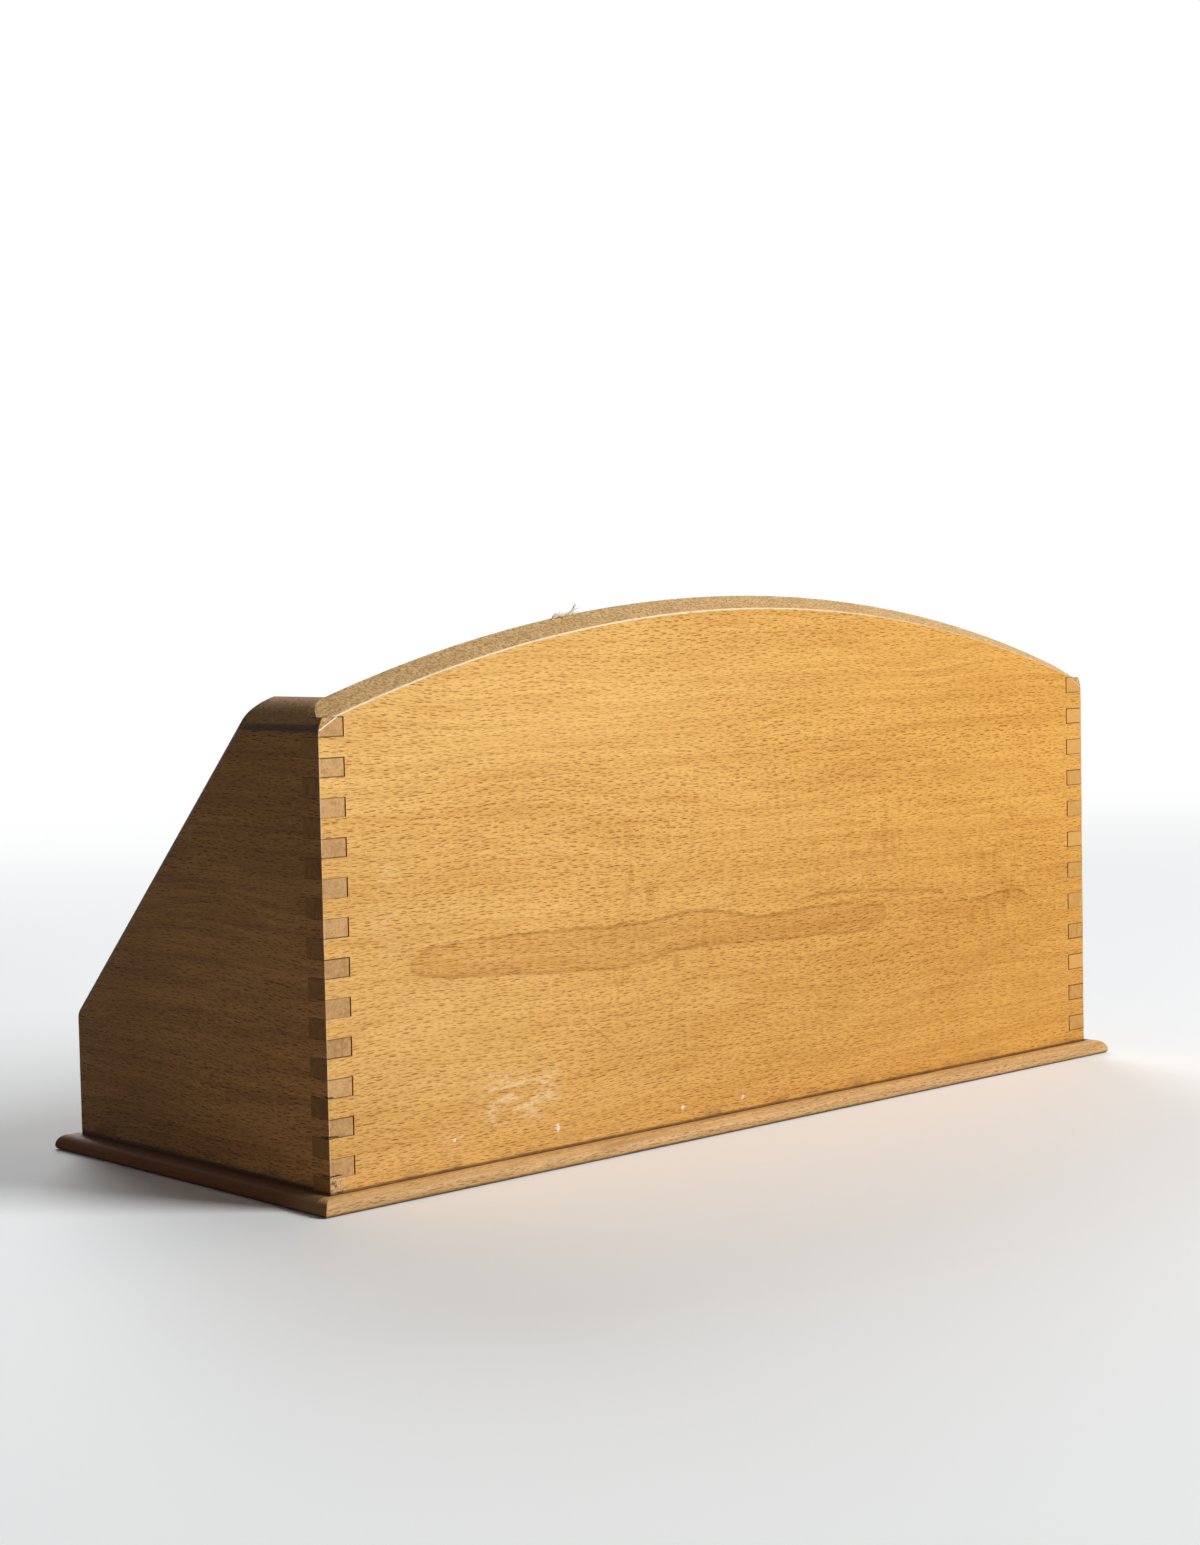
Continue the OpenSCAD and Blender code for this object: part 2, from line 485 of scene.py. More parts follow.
def new_object(name: str, data: bpy.types.ID) -> bpy.types.Object:
    """Put a new object into the scene.

    Args:
        name: the object's name.
        data: its mesh, lamp or camera.

    Returns:
        bpy.types.Object: the object.
    """
    obj = bpy.data.objects.new(name, data)
    bpy.context.scene.collection.objects.link(obj)
    return obj


VECTOR, NUMBER, COLOUR = "NodeSocketVector", "NodeSocketFloat", "NodeSocketColor"

# Where the pith lies at the middle of a board, and how it dips along the board.
PITH_Y, PITH_Z = -28.0 * MM, 58.0 * MM
DIP_Y, DIP_Z = 0.09, -0.04
RINGS_PER_METRE = 190.0

# Ray flecks: cell of the loose net that they lie in, and half a fleck. The net
# of the short ones is moved, so that the two nets don't coincide.
LONG_FLECK: tuple[Span, Span] = ((2.8 * MM, 1.15 * MM), (1.3 * MM, 0.17 * MM))
SHORT_FLECK: tuple[Span, Span] = ((1.9 * MM, 0.75 * MM), (0.8 * MM, 0.14 * MM))
SHORT_FLECK_SHIFT: Span = (0.713, 0.391)


def beech_group() -> bpy.types.NodeTree:
    """Beech read along its grain: soft rings, streaks and short dark ray flecks.

    Returns:
        bpy.types.NodeTree: group from a place along the grain and a face
            normal to colour, roughness and height.
    """
    group, book, source, sink = new_group(
        "beech",
        [
            ("Along", VECTOR, None),
            ("Facing", VECTOR, None),
            ("Light", COLOUR, (0.66, 0.39, 0.14, 1)),
            ("Dark", COLOUR, (0.42, 0.2, 0.06, 1)),
            ("End", COLOUR, (0.3, 0.17, 0.08, 1)),
            ("Fleck", NUMBER, 0.6),
            ("Figure", NUMBER, 0.5),
        ],
        [("Color", COLOUR), ("Roughness", NUMBER), ("Height", NUMBER)],
    )
    along, facing, light, dark, end_tone, fleck_amount, figure = source.outputs[:7]
    lift = book.sway(book.noise(along, (9, 26, 26), 1.0), 0.012)
    bent = book.vector("ADD", along, book.joined(0.0, lift, lift))

    # Rings round a pith that lies off the board and dips along it.
    x, y, z = book.split(bent)
    dip = book.minus(y, book.total(book.product(x, DIP_Y), PITH_Y))
    rise = book.minus(z, book.total(book.product(x, DIP_Z), PITH_Z))
    waver = book.product(book.noise(along, (14, 60, 60), 2.0), 1.6)
    turns = book.total(book.product(book.length(dip, rise), RINGS_PER_METRE), waver)
    rings = book.fade(book.math("FRACT", turns), 0.35, 1.0)

    streak = book.noise(bent, (16, 700, 700), 3.0, 0.6)
    broad = book.noise(along, (8, 34, 34), 3.0, 0.55, (3, 1, 5))
    fine = book.noise(bent, (420, 2600, 2600), 2.0, 0.6)
    bands = book.noise(bent, (11, 270, 270), 2.0, 0.55, (6, 2, 9))

    # Ray flecks lie in the face: across them is up, or through on a flat-lying face.
    flat = book.fade(book.size(book.split(facing)[2]), 0.6, 0.8)
    across = book.total(z, book.product(flat, book.minus(y, z)))
    long_dash = book.dashes(x, across, *LONG_FLECK)
    short_dash = book.dashes(book.total(x, SHORT_FLECK_SHIFT[0]),
                             book.total(across, SHORT_FLECK_SHIFT[1]), *SHORT_FLECK)
    patchy = book.fade(broad, 0.3, 0.62, 0.75, 1.0)
    fleck = book.product(book.most(long_dash, book.product(short_dash, 0.5)), patchy)

    drawn = book.total(book.product(rings, 0.16), book.product(book.fade(streak, 0.35, 0.7), 0.46))
    spread = book.total(book.product(book.fade(broad, 0.3, 0.75), 0.2),
                        book.product(book.fade(bands, 0.42, 0.64), 0.2))
    body = book.tint(book.total(book.product(drawn, figure), spread), light, dark)
    body = book.tint(book.product(fleck, fleck_amount), body,
                     book.tint(1.0, dark, Tone.FLECK, "MULTIPLY"))
    body = book.tint(book.product(book.fade(fine, 0.4, 0.7), 0.24), body, dark)

    pores = book.fade(book.noise(along, (300, 1500, 1500)), 0.42, 0.7)
    rays = book.fade(book.noise(along, (500, 260, 2400)), 0.5, 0.75)
    blotch = book.fade(book.noise(along, (260, 420, 420), 3.0, 0.6, (2, 7, 1)), 0.42, 0.68)
    speckle = book.total(book.product(pores, 0.4), book.product(rays, 0.35))
    end_body = book.tint(speckle, end_tone, Tone.END_RAY, "MULTIPLY")
    end_body = book.tint(book.product(blotch, 0.6), end_body, Tone.END_CLOUD, "MULTIPLY")
    end_body = book.tint(0.1, end_body, light)

    end = book.fade(book.size(book.split(facing)[0]), 0.55, 0.8)
    book.fill(sink, {
        "Color": book.tint(end, body, end_body),
        "Roughness": book.total(book.product(end, 0.18), book.product(fleck, 0.15)),
        "Height": book.minus(book.product(streak, 0.35), book.product(fleck, 0.5)),
    })
    return group


def foot_dirt_and_shade_group() -> bpy.types.NodeTree:
    """Painted contact shade with dirt: a dark line along the foot of a board, uneven along its way.

    Returns:
        bpy.types.NodeTree: group from a place and the foot's height to the
            masks of the dark line and of the haze above it.
    """
    group, book, source, sink = new_group(
        "grime",
        [("Place", VECTOR, None), ("Foot", NUMBER, 0.005), ("Reach", NUMBER, 0.004)],
        [("Line", NUMBER), ("Haze", NUMBER)],
    )
    place, foot, reach = source.outputs[:3]
    share = book.ratio(book.minus(book.split(place)[2], foot), reach)
    uneven = book.fade(book.noise(place, (60, 60, 160), 4.0, 0.65), 0.4, 0.7)
    book.fill(sink, {
        "Line": book.drop(share, 0.1, 0.3),
        "Haze": book.product(book.fade(share, 0.0, 1.6, 0.6, 0.0), uneven),
    })
    return group


@dataclass(frozen=True)
class BeechFinish:
    """A varnished beech board: its colours, its grain and how it is cut."""

    name: str
    slot: str
    light: Colour
    dark: Colour
    end: Colour
    grain: Grain = Grain.ACROSS
    fleck: float = 0.85
    figure: float = 0.55
    cut_from: Point = (0.0, 0.0, 0.0)
    roughness: float = 0.5
    coat: float = 0.05
    coat_roughness: float = 0.28
    specular: float = 0.25
    ior: float = 1.48
    relief: float = 0.4 * MM
    relief_strength: float = 0.12


BACK = BeechFinish(
    "varnished_beech_back", "back_beech",
    light=(0.98, 0.6, 0.2, 1), dark=(0.68, 0.34, 0.075, 1), end=(0.42, 0.2, 0.065, 1),
    fleck=1.0, figure=0.6, coat=0.0, specular=0.16,
)
# Painted shade: the sides' beech is much darker than the back's, as their outer faces stand in
# shade.
SIDE = BeechFinish(
    "varnished_beech_side", "side_beech",
    light=(0.56, 0.27, 0.075, 1), dark=(0.16, 0.056, 0.011, 1), end=(0.74, 0.45, 0.2, 1),
    grain=Grain.DEPTH, fleck=1.0, figure=0.6, cut_from=(0.31, 0.02, 0.07),
    coat=0.0, specular=0.12,
)
FRONT = BeechFinish(
    "varnished_beech_front", "back_beech",
    light=(0.8, 0.43, 0.1, 1), dark=(0.54, 0.25, 0.045, 1), end=(0.5, 0.29, 0.1, 1),
    cut_from=(1.3, 0.4, 0.2),
)
DIVIDER = BeechFinish(
    "thin_beech", "divider_beech",
    light=(0.8, 0.46, 0.13, 1), dark=(0.56, 0.27, 0.06, 1), end=(0.5, 0.3, 0.12, 1),
    figure=0.5, cut_from=(2.1, 0.7, 0.5), roughness=0.55, coat=0.06,
)
BASE = BeechFinish(
    "varnished_beech_base", "base_beech",
    light=(0.74, 0.46, 0.2, 1), dark=(0.42, 0.22, 0.075, 1), end=(0.34, 0.18, 0.075, 1),
    figure=0.9, cut_from=(3.4, 0.2, 0.9), coat=0.0, specular=0.15,
)


class BeechMaterial:
    """Builds the material of one finish, open for a board's own marks."""

    def __init__(self, finish: BeechFinish, groups: Groups, sizes: BoxSizes) -> None:
        """Start the material and read the place and facing of each point.

        Args:
            finish: colours and grain of the board.
            groups: the shared node groups by name.
            sizes: the box's sizes.
        """
        self.finish, self.groups, self.sizes = finish, groups, sizes
        self.material, self.shader, self.book = new_material(finish.name)
        coordinates = self.book.add("ShaderNodeTexCoord")
        self.place, self.facing = coordinates.outputs["Object"], coordinates.outputs["Normal"]
        self.x, self.y, self.z = self.book.split(self.place)
        self.nx, self.ny, self.nz = self.book.split(self.facing)
        self.outside = self.book.size(self.x)
        self.colour, self.rough, self.height = self._beech()

    def _turned(self, vector: Socket) -> Socket:
        """The vector with its first part along the board's grain.

        Args:
            vector: a vector in the box's axes.

        Returns:
            Socket: the turned vector.
        """
        if self.finish.grain is Grain.ACROSS:
            return vector
        x, y, z = self.book.split(vector)
        return self.book.joined(y, x, z)

    def _group(self, name: str, values: dict[str, Value]) -> bpy.types.NodeOutputs:
        """Place one of the shared groups and feed it.

        Args:
            name: the group's name.
            values: value of each input by its label.

        Returns:
            bpy.types.NodeOutputs: the group's outputs.
        """
        node = self.book.add("ShaderNodeGroup")
        node.node_tree = self.groups[name]
        self.book.fill(node, values)
        return node.outputs

    def _beech(self) -> tuple[Value, Value, Socket]:
        """Place the beech group with this finish's values.

        Returns:
            tuple: colour, roughness and height of the wood.
        """
        finish = self.finish
        wood = self._group("beech", {
            "Along": self.book.stretched(self._turned(self.place), (1, 1, 1), finish.cut_from),
            "Facing": self._turned(self.facing),
            "Light": finish.light,
            "Dark": finish.dark,
            "End": finish.end,
            "Fleck": finish.fleck,
            "Figure": finish.figure,
        })
        return wood["Color"], self.book.total(wood["Roughness"], finish.roughness), wood["Height"]

    def rear_face(self) -> Socket:
        """1 on faces that look to the rear."""
        return self.book.fade(self.ny, 0.9, 0.97)

    def lay(self, colour: Colour, *masks: Value, way: str = "MIX") -> None:
        """Lay a colour over the wood where all the masks say."""
        self.colour = self.book.tint(self.book.product(*masks), self.colour, colour, way)

    def shade(self, colour: Colour, *masks: Value) -> None:
        """Multiply the wood's colour by another where all the masks say."""
        self.lay(colour, *masks, way="MULTIPLY")

    def dull(self, mask: Value, amount: float) -> None:
        """Make the varnish rougher where the mask says."""
        self.rough = self.book.total(self.rough, self.book.product(mask, amount))

    def grime(self, foot: float, reach: float, strength: float) -> None:
        """Lay dirt and painted contact shade along the foot of the board.

        Args:
            foot: height of the board's lower edge.
            reach: how far the dirt and painted shade climb.
            strength: how dark it gets.
        """
        dirt = self._group("grime", {"Place": self.place, "Foot": foot, "Reach": reach})
        # Painted shade where the board stands on the base, darkened further by dirt: a haze and a
        # dark line.
        self.lay(Tone.HAZE, dirt["Haze"], strength)
        self.lay(Tone.DARK_DIRT_AND_SHADE, dirt["Line"], strength)

    def done(self) -> bpy.types.Material:
        """Wire the shader.

        Returns:
            bpy.types.Material: the finished material.
        """
        finish = self.finish
        bump = self.book.add("ShaderNodeBump")
        self.book.fill(bump, {
            "Strength": finish.relief_strength,
            "Distance": finish.relief,
            "Height": self.height,
        })
        self.book.fill(self.shader, {
            "Base Color": self.colour,
            "Roughness": self.rough,
            "Coat Weight": finish.coat,
            "Coat Roughness": finish.coat_roughness,
            "IOR": finish.ior,
            "Specular IOR Level": finish.specular,
            "Normal": bump.outputs[0],
        })
        return self.material


def dress(node: str, material: bpy.types.Material) -> bpy.types.Object:
    """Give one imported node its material.

    Args:
        node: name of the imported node.
        material: its finish.

    Returns:
        bpy.types.Object: the dressed node.
    """
    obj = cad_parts[node]
    obj.data.materials.clear()
    obj.data.materials.append(material)
    log.info("dressed %s in %s", node, material.name)
    return obj


# Height of each crack at the +X rear corner, and how far it runs from the corner.
CORNER_CRACKS: tuple[Span, ...] = (
    (10.6 * MM, 5.2 * MM), (22.4 * MM, 4.4 * MM), (34.4 * MM, 2.4 * MM),
)
BREAK_HEIGHT = 11.4 * MM

# How the arris line (worn, with a painted highlight) leaves the arch's circle, per metre outwards
# over the top finger.
ARRIS_TREND = -0.22


def arch_reach(paint: BeechMaterial) -> Socket:
    """Distance of each point from the arch's centre."""
    return paint.book.length(paint.x, paint.book.minus(paint.z, paint.sizes.arch_centre))


def speckled_edge(paint: BeechMaterial, mask: Value, amount: float) -> None:
    """Greyer, finely speckled edge grain of a sawn and sanded top.

    Args:
        paint: material of the board.
        mask: where the edge grain shows.
        amount: strength of the speckles.
    """
    book = paint.book
    speck = book.noise(paint.place, (1100, 1100, 1100), 2.0, 0.7)
    broad = book.noise(paint.place, (90, 160, 160), 3.0, 0.6)
    paint.lay(Tone.EDGE, mask, 0.85)
    paint.lay(Tone.EDGE_PORE, mask, book.fade(speck, 0.42, 0.66), amount)
    paint.lay(Tone.EDGE_LIGHT, mask, book.fade(speck, 0.5, 0.34), 0.35 * amount)
    paint.lay(Tone.EDGE_SHADE, mask, book.fade(broad, 0.45, 0.7), 0.35)
    paint.dull(mask, 0.2)


def finger_tone(paint: BeechMaterial, facing: Value, amount: float) -> None:
    """Darken the end grain of the fingers, each finger by its own amount.

    Args:
        paint: material of the board.
        facing: how far the point faces along the board's grain.
        amount: how dark the darkest finger gets.
    """
    book, sizes = paint.book, paint.sizes
    level = book.minus(paint.z, sizes.table + sizes.first_finger)
    luck = book.add("ShaderNodeTexWhiteNoise", noise_dimensions="1D")
    book.feed(luck.inputs["W"], book.math("FLOOR", book.ratio(level, 0.5 * sizes.finger_pitch)))
    lines = book.fade(book.noise(paint.place, (700, 700, 420), 3.0, 0.7), 0.36, 0.62, 0.4, 1.0)
    at_end = book.fade(facing, 0.9, 0.97)
    paint.lay(Tone.FINGER_STREAK, at_end, luck.outputs["Value"], lines, amount)


def corner_wear_and_highlight(paint: BeechMaterial) -> None:
    """A thin pale line down each upright rear corner: varnish rubbed off, with a painted highlight
    on the arris.

    Args:
        paint: material of a board that has such a corner.
    """
    book, sizes = paint.book, paint.sizes
    ragged = book.noise(paint.place, (200, 200, 110), 3.0, 0.65)
    edge = book.product(ragged, 0.7 * MM)
    at_corner = [
        book.fade(book.total(value, edge), arris - 0.15 * MM, arris + 0.1 * MM)
        for value, arris in ((paint.outside, sizes.half_length), (paint.y, sizes.rear))
    ]
    # Pale corner line: worn varnish with a painted highlight.
    paint.lay(Tone.CORNER_WEAR_AND_HIGHLIGHT, *at_corner, book.fade(ragged, 0.4, 0.6, 0.15, 0.55))


def broken_corner(paint: BeechMaterial) -> None:
    """Cracks and broken, mottled wood at the foot of the +X rear corner.

    Args:
        paint: material of a board that meets there.
    """
    book, sizes = paint.book, paint.sizes
    from_edge = book.total(book.minus(sizes.half_length, paint.x), book.minus(sizes.rear, paint.y))
    jag = book.noise(paint.place, (420, 420, 420), 3.0, 0.7)
    near = book.total(from_edge, book.sway(jag, 6.0 * MM))
    low = book.fade(paint.z, BREAK_HEIGHT, BREAK_HEIGHT - 1.2 * MM)
    chip = book.product(book.fade(near, 5.0 * MM, 3.4 * MM), low, book.fade(paint.ny, 0.5, 0.9))
    mottle = book.fade(book.noise(paint.place, (900, 900, 900), 3.0, 0.7, (1, 2, 3)), 0.5, 0.64)
    paint.lay(Tone.BROKEN, chip, 0.6)
    paint.lay(Tone.BROKEN_PORE, chip, mottle, 0.85)
    wavy = book.total(paint.z, book.sway(jag, 1.2 * MM))
    for height, reach in CORNER_CRACKS:
        crack = book.near(wavy, height, 0.14 * MM, 0.22 * MM)
        along = book.fade(from_edge, reach, 0.6 * reach)
        paint.lay(Tone.DARK_DIRT_AND_SHADE, crack, along, 0.95)
    paint.dull(chip, 0.25)


@dataclass(frozen=True)
class WaterStain:
    """Outline of a dried water stain and the strength of its inside and its rims."""

    top: tuple[Span, ...]
    foot: tuple[Span, ...]
    inside: float
    top_rim: float
    foot_rim: float

    @property
    def span(self) -> Span:
        """First and last place of the stain along the board."""
        return self.top[0][0], self.top[-1][0]


@dataclass(frozen=True)
class RearMarks:
    """Where the stains, rubs and chips lie on the rear face, in millimetres.

    A rub is its span along the board, its span up the board and its
    strength. A brown mark is its middle, half its length, half its height and
    its slope. A chip is its middle and its radius.
    """

    stains: tuple[WaterStain, ...] = (
        WaterStain(
            top=((-69.0, 66.0), (-64.5, 69.4), (-32.7, 72.3), (-2.2, 71.6), (12.0, 74.5),
                 (26.8, 76.1), (54.8, 74.7), (90.2, 75.5), (139.8, 75.8), (147.0, 74.2),
                 (152.5, 70.4)),
            foot=((-69.0, 66.0), (-66.0, 63.4), (-58.9, 60.9), (-32.5, 61.7), (-2.0, 62.3),
                  (36.6, 63.5), (55.1, 60.5), (90.5, 62.0), (107.5, 63.2), (140.1, 65.6),
                  (152.5, 70.2)),
            inside=0.68, top_rim=0.7, foot_rim=0.6,
        ),
        WaterStain(
            top=((-149.0, 64.5), (-143.8, 68.2), (-133.0, 68.4), (-117.0, 66.8), (-103.7, 70.3),
                 (-90.7, 72.9), (-75.6, 74.2), (-55.0, 75.7), (-34.4, 76.1), (-20.0, 75.0)),
            foot=((-149.0, 64.0), (-141.3, 62.7), (-129.9, 61.5), (-116.9, 60.4), (-92.1, 60.9),
                  (-70.0, 69.0), (-55.0, 71.5), (-34.4, 72.6), (-20.0, 73.5)),
            inside=0.2, top_rim=0.8, foot_rim=0.12,
        ),
    )
    stain_heights: Span = (55.0, 80.0)
    smudged: tuple[Span, Span] = ((-150.0, 78.0), (46.0, 108.0))
    rubs: tuple[tuple[Span, Span, float], ...] = (
        ((93.0, 125.0), (17.0, 32.0), 0.62),
        ((131.0, 140.0), (13.0, 17.0), 0.5),
        ((156.0, 164.0), (74.0, 106.0), 0.22),
    )
    brown_marks: tuple[tuple[float, ...], ...] = (
        (22.5, 75.8, 5.6, 0.7, 0.0),
        (38.3, 59.8, 1.9, 3.2, 0.0),
        (-116.3, 60.1, 2.2, 2.0, 0.0),
        (71.0, 38.0, 13.0, 0.6, 0.75),
    )
    chips: tuple[Point, ...] = ((92.8, 11.7, 2.1), (135.7, 14.4, 1.2), (36.5, 10.4, 1.7),
                                (7.7, 9.7, 1.5))


@dataclass
class BackBoard:
    """The arched back board with the marks of its rear face."""

    sizes: BoxSizes
    groups: Groups
    marks: RearMarks = RearMarks()

    def __post_init__(self) -> None:
        """Start the board's material and read its rear face in millimetres."""
        self.paint = BeechMaterial(BACK, self.groups, self.sizes)
        self.book = self.paint.book
        self.along = self.book.ratio(self.paint.x, MM)
        self.up = self.book.ratio(self.paint.z, MM)
        self.rear_face = self.paint.rear_face()

    def dress(self) -> list[bpy.types.Object]:
        """Give the board its beech, its worn arris with a painted highlight, stains and chips.

        Returns:
            list[bpy.types.Object]: the dressed board.
        """
        self._far_and_low_tone()
        finger_tone(self.paint, self.book.size(self.paint.nx), 0.6)
        self._top_edge()
        self._stains()
        self._smudges()
        self._rubs()
        self._brown_marks()
        self._chips()
        corner_wear_and_highlight(self.paint)
        broken_corner(self.paint)
        # Painted contact shade along the board's foot, with dirt.
        self.paint.grime(self.sizes.table, 3.6 * MM, 0.7)
        return [dress("back_board", self.paint.done())]

    def _face_noise(
        self, scale: Span, detail: float, roughness: float = 0.5, shift: Span = (0, 0)
    ) -> Socket:
        """Noise drawn on the rear face alone, with a scale along and up the board."""
        return self.book.noise(self.paint.place, (scale[0], 1, scale[1]), detail, roughness,
                               (shift[0], 0, shift[1]))

    def _patch(self, along: Span, up: Span, soft: Span) -> Value:
        """1 inside a soft rectangle on the board."""
        return self.book.product(self.book.window(self.along, along, soft[0]),
                                 self.book.window(self.up, up, soft[1]))

    def _far_and_low_tone(self) -> None:
        """Darker and browner towards the far end and the foot of the board."""
        far = self.book.fade(self.paint.x, self.sizes.half_length, -self.sizes.half_length)
        self.paint.shade(Tone.FAR_END, far)
        self.paint.shade(Tone.NEAR_FOOT, self.book.fade(self.paint.z, 0.13, 0.02))

    def _top_edge(self) -> None:
        """Greyer edge grain on the bevelled top, and the worn arris with a painted highlight."""
        book, paint, rear = self.book, self.paint, self.sizes.rear
        speckled_edge(paint, book.fade(paint.nz, 0.25, 0.5), 0.8)
        ragged = book.noise(paint.place, (260, 260, 260), 3.0, 0.6)
        reach = book.total(arch_reach(paint), book.product(ragged, 0.5 * MM))
        line = book.near(reach, self.sizes.bevel_arris + 0.2 * MM, 0.14 * MM, 0.2 * MM)
        at_rear = book.fade(paint.y, rear - 0.7 * MM, rear - 0.4 * MM)
        wear_and_highlight = book.product(book.fade(ragged, 0.3, 0.5, 0.6, 1.0),
                            book.fade(paint.x, -0.11, 0.01, 0.25, 1.0))
        # Pale arris line: varnish worn off, with a painted highlight where the arris catches the
        # light.
        paint.lay(Tone.ARRIS_WEAR_AND_HIGHLIGHT, line, at_rear, wear_and_highlight)

    def _stains(self) -> None:
        """The two water stains across the middle of the rear face."""
        book, reach = self.book, self.marks.stain_heights
        height = book.total(self.up, book.sway(self._face_noise((120, 150), 4.0, 0.6), 2.6))
        broken = book.fade(self._face_noise((60, 90), 3.0, 0.6, (8, 3)), 0.34, 0.52)
        drawn = self._face_noise((420, 30), 3.0, 0.6, (2, 6))
        streak = book.fade(drawn, 0.4, 0.7, 0.72, 1.17)
        for stain in self.marks.stains:
            above = book.minus(book.profile(self.along, stain.span, stain.top, reach), height)
            over = book.minus(height, book.profile(self.along, stain.span, stain.foot, reach))
            ends = stain.span[0] + 1.0, stain.span[1] - 1.0
            present = book.product(book.window(self.along, ends, 0.5), self.rear_face)
            below_top, over_foot = book.fade(above, -0.5, 0.5), book.fade(over, -0.5, 0.5)
            rims = book.most(
                book.product(book.near(above, 0.3, 0.15, 0.8), over_foot, stain.top_rim),
                book.product(book.near(over, 0.3, 0.15, 0.8), below_top, stain.foot_rim),
            )
            self.paint.shade(Tone.STAIN, below_top, over_foot, present, streak, stain.inside)
            self.paint.shade(Tone.STAIN_RIM, rims, present, broken)

    def _smudges(self) -> None:
        """Faint upright smears above and beside the stains."""
        smear = self.book.fade(self._face_noise((210, 80), 4.0, 0.75, (4, 2)), 0.48, 0.66)
        patch = self.book.fade(self._face_noise((26, 40), 2.0, 0.5, (1, 7)), 0.42, 0.62)
        region = self._patch(*self.marks.smudged, (14.0, 9.0))
        self.paint.shade(Tone.STAIN, smear, patch, region, self.rear_face, 0.8)

    def _rubs(self) -> None:
        """Pale patches low on the board, and one faint upright one, rubbed by use."""
        scuff = self.book.fade(self._face_noise((110, 330), 4.0, 0.72), 0.46, 0.62)
        for along, up, strength in self.marks.rubs:
            region = self._patch(along, up, (5.0, 4.0))
            self.paint.lay(Tone.RUB, region, scuff, self.rear_face, strength)

    def _brown_marks(self) -> None:
        """Small brown spots and scratches, each a bent oval."""
        book = self.book
        bend = book.sway(self._face_noise((110, 60), 3.0, 0.6, (5, 1)), 5.0)
        for x, z, half_length, half_height, slope in self.marks.brown_marks:
            beside = book.minus(self.along, x)
            rise = book.minus(book.total(book.minus(self.up, z), bend), book.product(beside, slope))
            reach = book.length(book.ratio(beside, half_length), book.ratio(rise, half_height))
            self.paint.lay(Tone.BROWN_MARK, book.drop(reach, 0.3, 1.2), self.rear_face, 0.55)

    def _chips(self) -> None:
        """Four small jagged white chips along the foot of the board."""
        book = self.book
        jag = self._face_noise((900, 900), 3.0, 0.7)
        for x, z, radius in self.marks.chips:
            reach = book.length(book.minus(self.along, x), book.minus(self.up, z))
            reach = book.total(reach, book.sway(jag, 2.2 * radius))
            chip = book.drop(reach, 0.3 * radius, 0.55 * radius)
            self.paint.lay(Tone.CHALK, chip, self.rear_face)


